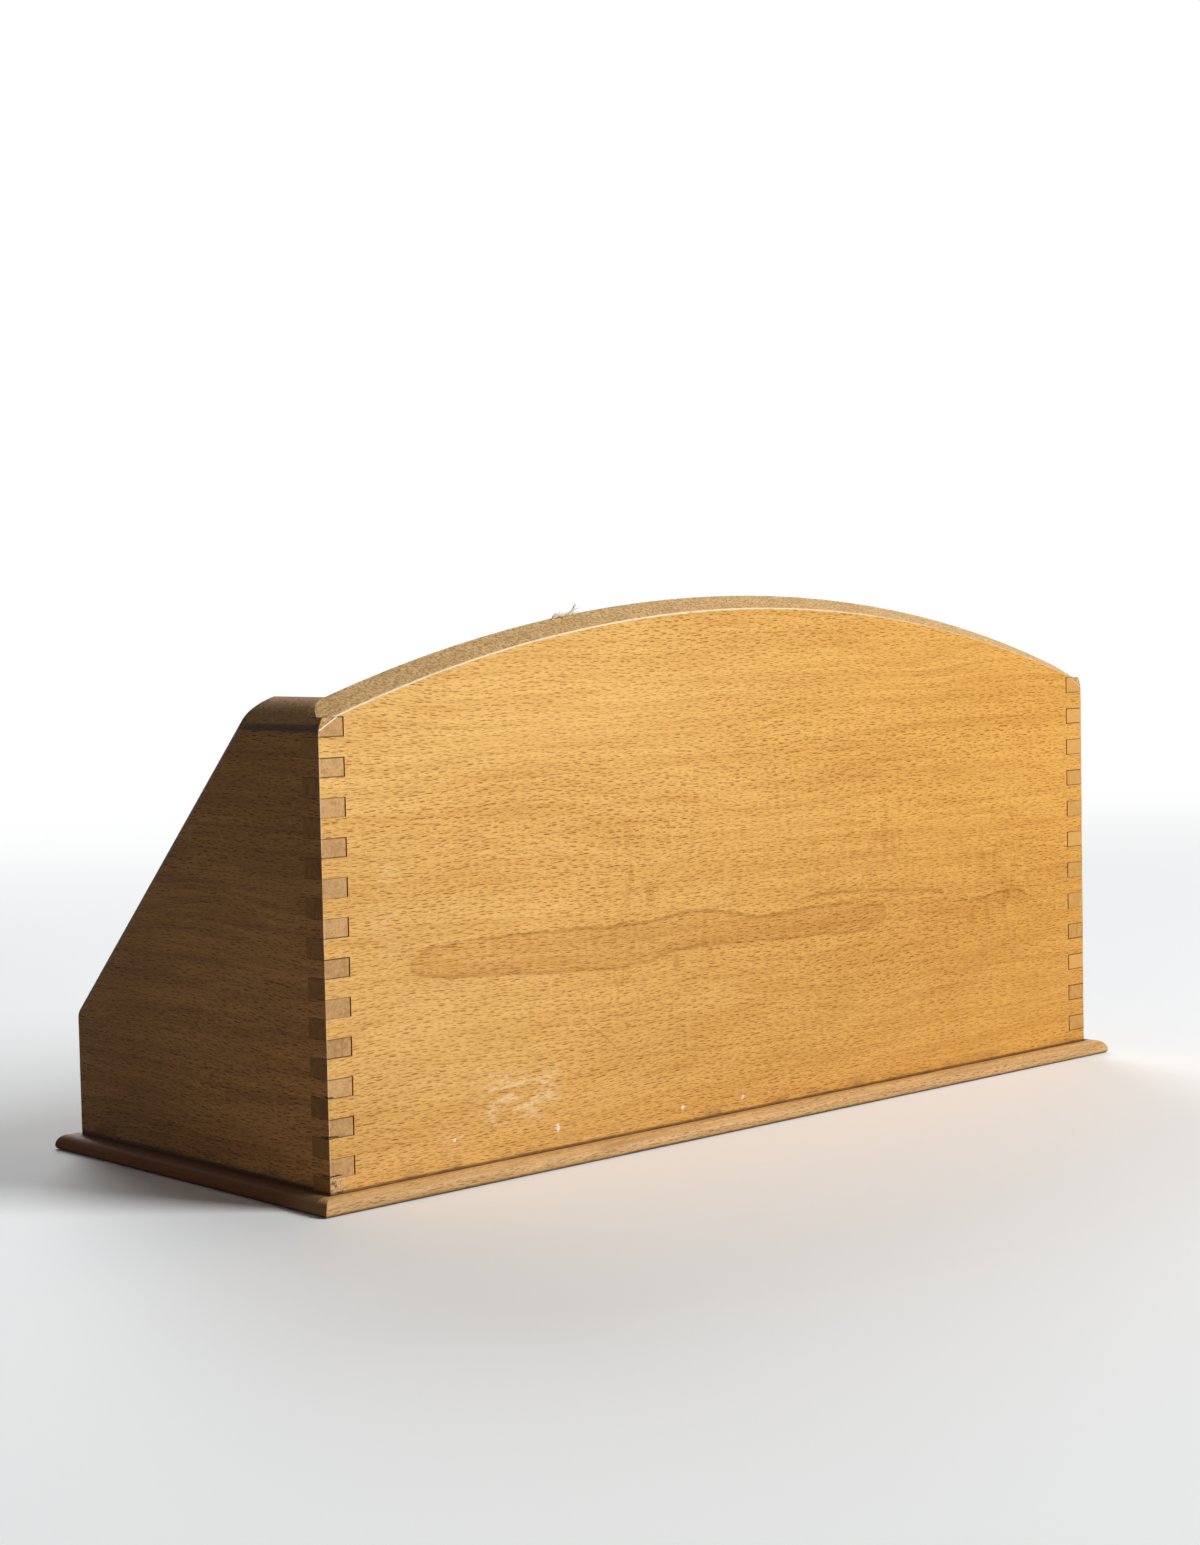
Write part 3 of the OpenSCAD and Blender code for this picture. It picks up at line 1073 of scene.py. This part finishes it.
@dataclass
class SideBoards:
    """The two sloped side boards with their fingers."""

    sizes: BoxSizes
    groups: Groups

    def __post_init__(self) -> None:
        """Start the boards' material."""
        self.paint = BeechMaterial(SIDE, self.groups, self.sizes)
        self.book = self.paint.book

    def dress(self) -> list[bpy.types.Object]:
        """Give both boards their beech, dark arris lines with painted shade on the slope, dirty
        joints, painted bounce light and painted contact shade.

        Returns:
            list[bpy.types.Object]: the dressed boards.
        """
        self._top_and_face()
        self._far_fingers()
        finger_tone(self.paint, self.paint.ny, 0.35)
        self._dark_arris()
        self._joint_lines()
        self._bevelled_finger()
        corner_wear_and_highlight(self.paint)
        broken_corner(self.paint)
        # Painted shadow of the gap over the base along the sides' foot, with dirt.
        self.paint.grime(self.sizes.table, 7.5 * MM, 0.97)
        material = self.paint.done()
        return [dress(node, material)
                for node in ("left_side_board", "right_side_board")]

    def _top_and_face(self) -> None:
        """Speckled top edges, and painted bounce light paling the outer faces towards the low rear
        corner.
        """
        book, paint, sizes = self.book, self.paint, self.sizes
        upward = book.fade(paint.nz, 0.3, 0.6)
        speckled_edge(paint, upward, 0.7)
        level = book.fade(paint.z, sizes.side_top - 16 * MM, sizes.side_top - 8 * MM)
        paint.shade(Tone.CREST, upward, level)
        outer = book.fade(book.size(paint.nx), 0.9, 0.97)
        towards_rear = book.fade(paint.y, sizes.rear - 120 * MM, sizes.rear - 10 * MM)
        low = book.fade(paint.z, 120 * MM, sizes.table + 10 * MM)
        # Painted light: floor bounce brightening the outer faces towards the low rear corner.
        paint.shade(Tone.PAINTED_BOUNCE_LIGHT, outer, towards_rear, low)

    def _far_fingers(self) -> None:
        """Fingers at the far end, closer in colour to the back board."""
        far = self.book.fade(self.paint.x, 0.05, -0.05)
        self.paint.lay(Tone.FAR_FINGER, self.paint.rear_face(), far, 0.75)

    def _dark_arris(self) -> None:
        """A dark line along the outer face under the level top, and painted shade along the slope's
        eased arris.
        """
        book, paint, sizes = self.book, self.paint, self.sizes
        face, bend = sizes.half_length, sizes.rear - sizes.level_depth
        level_line = book.near(paint.z, sizes.side_top - sizes.varnish_line, 0.7 * MM, 1.1 * MM)
        at_level = book.fade(paint.y, bend - 8 * MM, bend - 3 * MM)
        at_face = book.fade(paint.outside, face - 0.9 * MM, face - 0.35 * MM)
        paint.lay(Tone.DARK_DIRT_AND_SHADE, level_line, at_level, at_face, 0.97)
        # Painted shade of the slope's eased arris, which faces away from the light.
        run = book.minus(paint.y, sizes.front)
        plane = book.total(book.product(run, sizes.slope), sizes.front_end)
        slope_arris_shade = book.drop(book.minus(plane, paint.z), 2.9 * MM, 4.0 * MM)
        near_face = book.fade(paint.outside, face - 1.5 * MM, face - 0.8 * MM)
        paint.lay(Tone.DARK_DIRT_AND_SHADE, slope_arris_shade, near_face, 0.8)

    def _bevelled_finger(self) -> None:
        """The arch's edge grain and worn arris with its painted highlight, carried on over the top
        finger.
        """
        book, paint, sizes = self.book, self.paint, self.sizes
        at_rear = book.fade(paint.y, sizes.rear - 0.6 * MM, sizes.rear - 0.3 * MM)
        out = book.minus(paint.outside, sizes.half_length - sizes.side_thickness)
        past = book.minus(arch_reach(paint), sizes.bevel_arris)
        past = book.minus(past, book.product(out, ARRIS_TREND))
        speckled_edge(paint, book.product(at_rear, book.fade(past, 0.0, 0.2 * MM)), 0.8)
        line = book.product(at_rear, book.near(past, 0.1 * MM, 0.12 * MM, 0.2 * MM))
        bright = book.fade(paint.x, -0.1, 0.1, 0.25, 1.0)
        # Pale arris line: varnish worn off, with a painted highlight where the arris catches the
        # light.
        paint.lay(Tone.ARRIS_WEAR_AND_HIGHLIGHT, line, bright)

    def _joint_lines(self) -> None:
        """Dirt and small cracks along the upper and lower edges of the fingers."""
        book, paint, sizes = self.book, self.paint, self.sizes
        level = book.minus(paint.z, sizes.table + sizes.first_finger)
        turn = book.math("FRACT", book.ratio(level, sizes.finger_pitch))
        edges = [book.near(turn, share, 0.012, 0.02)
                 for share in (0.0, sizes.finger_height / sizes.finger_pitch)]
        depth = sizes.back_thickness
        at_corner = book.fade(paint.y, sizes.rear - depth, sizes.rear - 0.2 * depth)
        broken = book.fade(book.noise(paint.place, (1, 300, 40)), 0.35, 0.6)
        paint.lay(Tone.DARK_DIRT_AND_SHADE, book.most(*edges), at_corner, broken, 0.8)


@dataclass
class InnerBoards:
    """The dividers and the low front board, seen from the front."""

    sizes: BoxSizes
    groups: Groups

    def dress(self) -> list[bpy.types.Object]:
        """Give the inner boards their paler beech.

        Returns:
            list[bpy.types.Object]: the dressed boards.
        """
        front = BeechMaterial(FRONT, self.groups, self.sizes)
        # Painted contact shade along the front board's foot, with dirt.
        front.grime(self.sizes.table, 4.0 * MM, 0.6)
        thin = BeechMaterial(DIVIDER, self.groups, self.sizes).done()
        dividers = "rear_divider", "middle_divider", "front_divider"
        return [
            dress("front_board", front.done()),
            *(dress(node, thin) for node in dividers),
        ]


@dataclass
class BaseBoard:
    """The nosed base board and the screws under it."""

    sizes: BoxSizes
    groups: Groups

    def dress(self) -> list[bpy.types.Object]:
        """Give the base its beech with a dark line round the box, painted shadow of the gap with
        dirt, painted shade on its ends and along its foot, and the screws their steel.

        Returns:
            list[bpy.types.Object]: the dressed pieces.
        """
        paint = BeechMaterial(BASE, self.groups, self.sizes)
        book, sizes = paint.book, self.sizes
        past_x = book.minus(paint.outside, sizes.half_length)
        uneven = book.noise(paint.place, (90, 90, 90), 3.0, 0.6)
        past_y = book.total(book.minus(book.size(paint.y), sizes.rear),
                            book.product(uneven, 1.2 * MM))
        # Painted shadow of the gap between box and base, with dirt.
        short_line = book.product(book.drop(past_x, 1.2 * MM, 2.3 * MM),
                                  book.drop(past_y, 1.0 * MM, 2.0 * MM))
        long_line = book.product(book.drop(past_y, 0.6 * MM, 1.6 * MM), 0.75)
        upper = book.fade(paint.z, sizes.table - 1.5 * MM, sizes.table - 0.5 * MM)
        paint.lay(Tone.DARK_DIRT_AND_SHADE, book.most(short_line, long_line), upper, 0.95)
        # Painted shade darkening both ends of the base's overhang.
        shaded_ends = book.fade(past_x, -1.0 * MM, 1.0 * MM)
        away = book.fade(paint.y, sizes.rear + 1.0 * MM, sizes.rear - 22.0 * MM)
        paint.shade(Tone.BASE_END_SHADE, shaded_ends, away)
        # Painted contact shade along the foot of the base's upright faces.
        upright = book.fade(book.size(paint.nz), 0.98, 0.9)
        foot = book.fade(paint.z, 0.2 * MM, 1.3 * MM, 0.7, 0.0)
        paint.lay(Tone.DARK_DIRT_AND_SHADE, foot, upright)
        return [
            dress("base_board", paint.done()),
            dress("base_screws", self._steel()),
        ]

    def _steel(self) -> bpy.types.Material:
        """Dull screw steel with brown tarnish in patches.

        Returns:
            bpy.types.Material: the steel.
        """
        material, shader, book = new_material("dull_screw_steel")
        place = book.add("ShaderNodeTexCoord").outputs["Object"]
        tarnish = book.fade(book.noise(place, (900, 900, 900), 3.0, 0.6), 0.4, 0.7)
        book.fill(shader, {
            "Base Color": book.tint(tarnish, Tone.STEEL, Tone.TARNISH),
            "Roughness": book.fade(tarnish, 0.0, 1.0, 0.35, 0.6),
            "Metallic": 1.0,
        })
        return material


@dataclass
class ArchSplinter:
    """A torn sliver that lies on the arch's inner edge, with frayed fibres.

    Each place of the sliver is its distance along the board, its lift over
    the arch and its radius, in millimetres. The feet of the strands run along
    it, and the last share of them climbs its curled end.
    """

    sizes: BoxSizes
    sliver: tuple[Point, ...] = (
        (84.2, -0.25, 0.15), (83.4, 0.55, 0.5), (82.2, 0.95, 0.62), (80.8, 0.55, 0.5),
        (79.0, 0.3, 0.42), (77.2, 0.4, 0.4), (75.8, 0.9, 0.42), (74.8, 1.7, 0.36),
        (74.2, 2.5, 0.38), (73.6, 3.0, 0.2),
    )
    sides: int = 8
    strands: int = 12
    strand_radius: float = 0.17 * MM
    strand_tip: float = 0.05 * MM
    strand_length: float = 2.2 * MM
    strand_turn: tuple[Point, Point] = ((-0.3, -1.45, -0.4), (0.3, -0.75, 0.4))
    strand_scale: Span = (0.55, 1.25)
    first_foot: float = 83.6
    feet_run: float = 9.6
    foot_lift: float = 0.3
    curl_share: float = 0.15
    curl_lift: float = 1.3
    seed: int = 11

    def build(self) -> list[bpy.types.Object]:
        """Make the sliver and its fibres.

        Returns:
            list[bpy.types.Object]: both pieces, riding on the box.
        """
        material, shader, book = new_material("torn_beech_fibre")
        book.fill(shader, {"Base Color": Tone.TORN_FIBRE, "Roughness": 0.8})
        pieces = [self._sliver(material), self._strands(material)]
        for piece in pieces:
            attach(piece, BODY)
            log.info("built %s with %d faces", piece.name, len(piece.data.polygons))
        return pieces

    @property
    def _line(self) -> float:
        """Place of the sliver's middle, just behind the arch's inner arris."""
        return self.sizes.rear - self.sizes.back_thickness + 0.9 * MM

    def _crest(self, x: float) -> float:
        """Height of the arch's inner arris at a place along the board."""
        return self.sizes.arch_centre + math.sqrt(self.sizes.arch_radius**2 - x * x)

    def _ring(self, number: int) -> list[Point]:
        """Corners of the sliver's ragged ring at one of its places.

        Args:
            number: which place.

        Returns:
            list[Point]: the corners, in metres.
        """
        x, lift, radius = (value * MM for value in self.sliver[number])
        wobble = 1.0 + 0.22 * math.sin(5.1 * number)
        corners = []
        for side in range(self.sides):
            angle = 2 * math.pi * side / self.sides
            ragged = radius * (wobble + 0.18 * math.sin(3.7 * side + 2.9 * number))
            corners.append((
                x + 0.35 * ragged * math.sin(angle + 1.0),
                self._line + ragged * math.cos(angle),
                self._crest(x) + lift + ragged * math.sin(angle),
            ))
        return corners

    def _sliver(self, material: bpy.types.Material) -> bpy.types.Object:
        """The lying sliver, a ragged tube that curls up at one end.

        Args:
            material: finish of the torn wood.

        Returns:
            bpy.types.Object: the sliver.
        """
        sides, rings = self.sides, len(self.sliver)
        corners = [corner for number in range(rings) for corner in self._ring(number)]
        faces = []
        for low in range(0, (rings - 1) * sides, sides):
            for side in range(sides):
                after = (side + 1) % sides
                faces.append((low + side, low + after, low + sides + after, low + sides + side))
        faces += [tuple(range(sides)), tuple(range(len(corners) - sides, len(corners)))]
        mesh = bpy.data.meshes.new("arch_sliver")
        mesh.from_pydata(corners, [], faces)
        form = bmesh.new()
        form.from_mesh(mesh)
        bmesh.ops.recalc_face_normals(form, faces=form.faces)
        form.to_mesh(mesh)
        form.free()
        mesh.materials.append(material)
        return new_object("arch_sliver", mesh)

    def _strands(self, material: bpy.types.Material) -> bpy.types.Object:
        """Make the fibres with Geometry Nodes and turn them into a plain mesh.

        Args:
            material: finish of the torn wood.

        Returns:
            bpy.types.Object: the fibres.
        """
        mesh = bpy.data.meshes.new("fibre_feet")
        mesh.from_pydata(self._feet(), [], [])
        carrier = new_object("fibre_feet", mesh)
        modifier = carrier.modifiers.new("strands", "NODES")
        modifier.node_group = self._tree(material)
        values = {"Radius": self.strand_radius, "Seed": self.seed}
        for item in modifier.node_group.interface.items_tree:
            if item.item_type == "SOCKET" and item.in_out == "INPUT" and item.name in values:
                modifier[item.identifier] = values[item.name]
        bpy.context.view_layer.update()
        evaluated = carrier.evaluated_get(bpy.context.evaluated_depsgraph_get())
        made = bpy.data.meshes.new_from_object(evaluated)
        bpy.data.objects.remove(carrier)
        return new_object("arch_fibres", made)

    def _feet(self) -> list[Point]:
        """Feet of the fibres along the sliver, the last ones up its curled end.

        Returns:
            list[Point]: the feet, in metres.
        """
        feet = []
        for number in range(self.strands):
            share = number / (self.strands - 1)
            x = (self.first_foot - self.feet_run * share) * MM
            curled = max(0.0, share - (1 - self.curl_share)) / self.curl_share
            lift = self.foot_lift + self.curl_lift * curled
            y = self._line + 0.5 * math.sin(2.3 * number) * MM
            feet.append((x, y, self._crest(x) + lift * MM))
        return feet

    def _tree(self, material: bpy.types.Material) -> bpy.types.NodeTree:
        """Strands on points: a tapered stick, turned and scaled at random.

        Args:
            material: finish of the strands.

        Returns:
            bpy.types.NodeTree: the Geometry Nodes tree.
        """
        tree = bpy.data.node_groups.new("splinter_strands", "GeometryNodeTree")
        for name, way, kind in (
            ("Geometry", "INPUT", "NodeSocketGeometry"),
            ("Radius", "INPUT", NUMBER),
            ("Seed", "INPUT", "NodeSocketInt"),
            ("Geometry", "OUTPUT", "NodeSocketGeometry"),
        ):
            tree.interface.new_socket(name=name, in_out=way, socket_type=kind)
        book = NodeBook(tree)
        source, sink = book.add("NodeGroupInput"), book.add("NodeGroupOutput")
        feet, radius, seed = source.outputs[:3]
        stick = book.add("GeometryNodeMeshCone")
        book.fill(stick, {"Vertices": 5, "Radius Top": self.strand_tip, "Radius Bottom": radius,
                          "Depth": self.strand_length})
        turn = book.add("FunctionNodeRandomValue", data_type="FLOAT_VECTOR")
        turn.inputs[0].default_value, turn.inputs[1].default_value = self.strand_turn
        size = book.add("FunctionNodeRandomValue", data_type="FLOAT")
        size.inputs[2].default_value, size.inputs[3].default_value = self.strand_scale
        for chance in (turn, size):
            book.feed(chance.inputs["Seed"], seed)
        place = book.add("GeometryNodeInstanceOnPoints")
        book.fill(place, {"Points": feet, "Instance": stick.outputs["Mesh"],
                          "Rotation": turn.outputs[0], "Scale": size.outputs[1]})
        real = book.add("GeometryNodeRealizeInstances")
        book.feed(real.inputs[0], place.outputs[0])
        paint = book.add("GeometryNodeSetMaterial")
        paint.inputs["Material"].default_value = material
        book.feed(paint.inputs["Geometry"], real.outputs[0])
        book.feed(sink.inputs[0], paint.outputs[0])
        return tree


@dataclass(frozen=True)
class PhotoCamera:
    """The photograph's camera, behind the box and off to its +X side."""

    place: Point = (0.64874, 0.69715, 0.17854)
    turn: float = 42.614
    drop: float = 3.586
    roll: float = -1.175
    lens: float = 61.365

    def build(self) -> bpy.types.Object:
        """Create the camera and make it the scene's.

        Returns:
            bpy.types.Object: the camera.
        """
        turn, drop, roll = (math.radians(v) for v in (self.turn, self.drop, self.roll))
        ahead = Vector((
            -math.sin(turn) * math.cos(drop),
            -math.cos(turn) * math.cos(drop),
            -math.sin(drop),
        ))
        level = ahead.cross(Vector((0, 0, 1))).normalized()
        upright = level.cross(ahead)
        right = math.cos(roll) * level + math.sin(roll) * upright
        up = math.cos(roll) * upright - math.sin(roll) * level
        data = bpy.data.cameras.new("photo_camera")
        data.lens = self.lens
        data.clip_start, data.clip_end = 0.01, 50.0
        camera = new_object("photo_camera", data)
        matrix = Matrix((right, up, -ahead)).transposed().to_4x4()
        matrix.translation = Vector(self.place)
        camera.matrix_world = matrix
        bpy.context.scene.camera = camera
        return camera


@dataclass(frozen=True)
class Lamp:
    """A square area lamp aimed at the middle of the box."""

    name: str
    place: Point
    size: float
    power: float
    aim: Point = (0.0, 0.0, 0.08)

    def build(self) -> None:
        """Create the lamp."""
        data = bpy.data.lights.new(self.name, "AREA")
        data.shape, data.size, data.energy = "SQUARE", self.size, self.power
        lamp = new_object(self.name, data)
        lamp.location = self.place
        ray = Vector(self.aim) - Vector(self.place)
        lamp.rotation_euler = ray.to_track_quat("-Z", "Y").to_euler()


@dataclass(frozen=True)
class Studio:
    """Pale floor, one soft key lamp, a weak fill and a plain white world."""

    lamps: tuple[Lamp, ...] = (
        Lamp("key", (-0.95, 1.75, 1.3), 0.9, 58.0),
        Lamp("fill", (-0.9, -1.9, 1.5), 1.4, 27.0),
    )
    world_level: float = 0.055
    floor_tone: Colour = (0.9, 0.92, 0.93, 1)
    floor_bounce: Colour = (0.28, 0.28, 0.28, 1)
    floor_reach: float = 30.0
    floor_near: float = 0.55
    floor_far: float = 1.6

    def build(self) -> None:
        """Create the floor, the lamps and the world."""
        self._floor()
        for lamp in self.lamps:
            lamp.build()
        self._world()

    @staticmethod
    def _seen(book: NodeBook, path: bpy.types.Node) -> Value:
        """1 for rays that show a thing to the camera, directly, in gloss or through glass."""
        return book.most(*(path.outputs[f"Is {kind} Ray"]
                           for kind in ("Camera", "Glossy", "Transmission")))

    def _floor(self) -> None:
        """A wide pale floor that goes over into the white background."""
        reach = self.floor_reach
        mesh = bpy.data.meshes.new("floor")
        mesh.from_pydata(
            [(-reach, -reach, 0), (reach, -reach, 0), (reach, reach, 0), (-reach, reach, 0)],
            [], [(0, 1, 2, 3)],
        )
        material, shader, book = new_material("pale_floor")
        white = book.add("ShaderNodeEmission")
        place = book.add("ShaderNodeTexCoord").outputs["Object"]
        path = book.add("ShaderNodeLightPath")
        tone = book.tint(path.outputs["Is Diffuse Ray"], self.floor_tone, self.floor_bounce)
        book.fill(shader, {"Base Color": tone, "Roughness": 0.65})
        distance = book.vector("LENGTH", place, output="Value")
        away = book.fade(distance, self.floor_near, self.floor_far)
        mixer = book.add("ShaderNodeMixShader")
        mixed = (book.product(away, self._seen(book, path)), shader.outputs[0], white.outputs[0])
        for socket, value in zip(mixer.inputs, mixed):
            book.feed(socket, value)
        book.feed(material.node_tree.nodes["Material Output"].inputs["Surface"], mixer.outputs[0])
        mesh.materials.append(material)
        new_object("floor", mesh)

    def _world(self) -> None:
        """White for the camera and for gloss, a weaker grey for the light."""
        world = bpy.data.worlds.new("studio")
        bpy.context.scene.world = world
        world.use_nodes = True
        book = NodeBook(world.node_tree)
        shown = self._seen(book, book.add("ShaderNodeLightPath"))
        book.fill(world.node_tree.nodes["Background"], {
            "Color": (1, 1, 1, 1),
            "Strength": book.fade(shown, 0.0, 1.0, self.world_level, 1.0),
        })


def main() -> None:
    """Dress the box, add its wear, then set up camera, floor and light."""
    logging.basicConfig(level=logging.INFO, format="%(name)s: %(message)s")
    sizes = BoxSizes.from_frame()
    groups = {"beech": beech_group(), "grime": foot_dirt_and_shade_group()}
    PhotoCamera().build()
    pieces = []
    for boards in (BackBoard, SideBoards, InnerBoards, BaseBoard):
        pieces += boards(sizes, groups).dress()
    pieces += ArchSplinter(sizes).build()
    log.info("%d pieces stand in the scene", len(pieces))
    Studio().build()
    bpy.context.scene.view_settings.view_transform = "Standard"


if __name__ == "__main__":
    main()
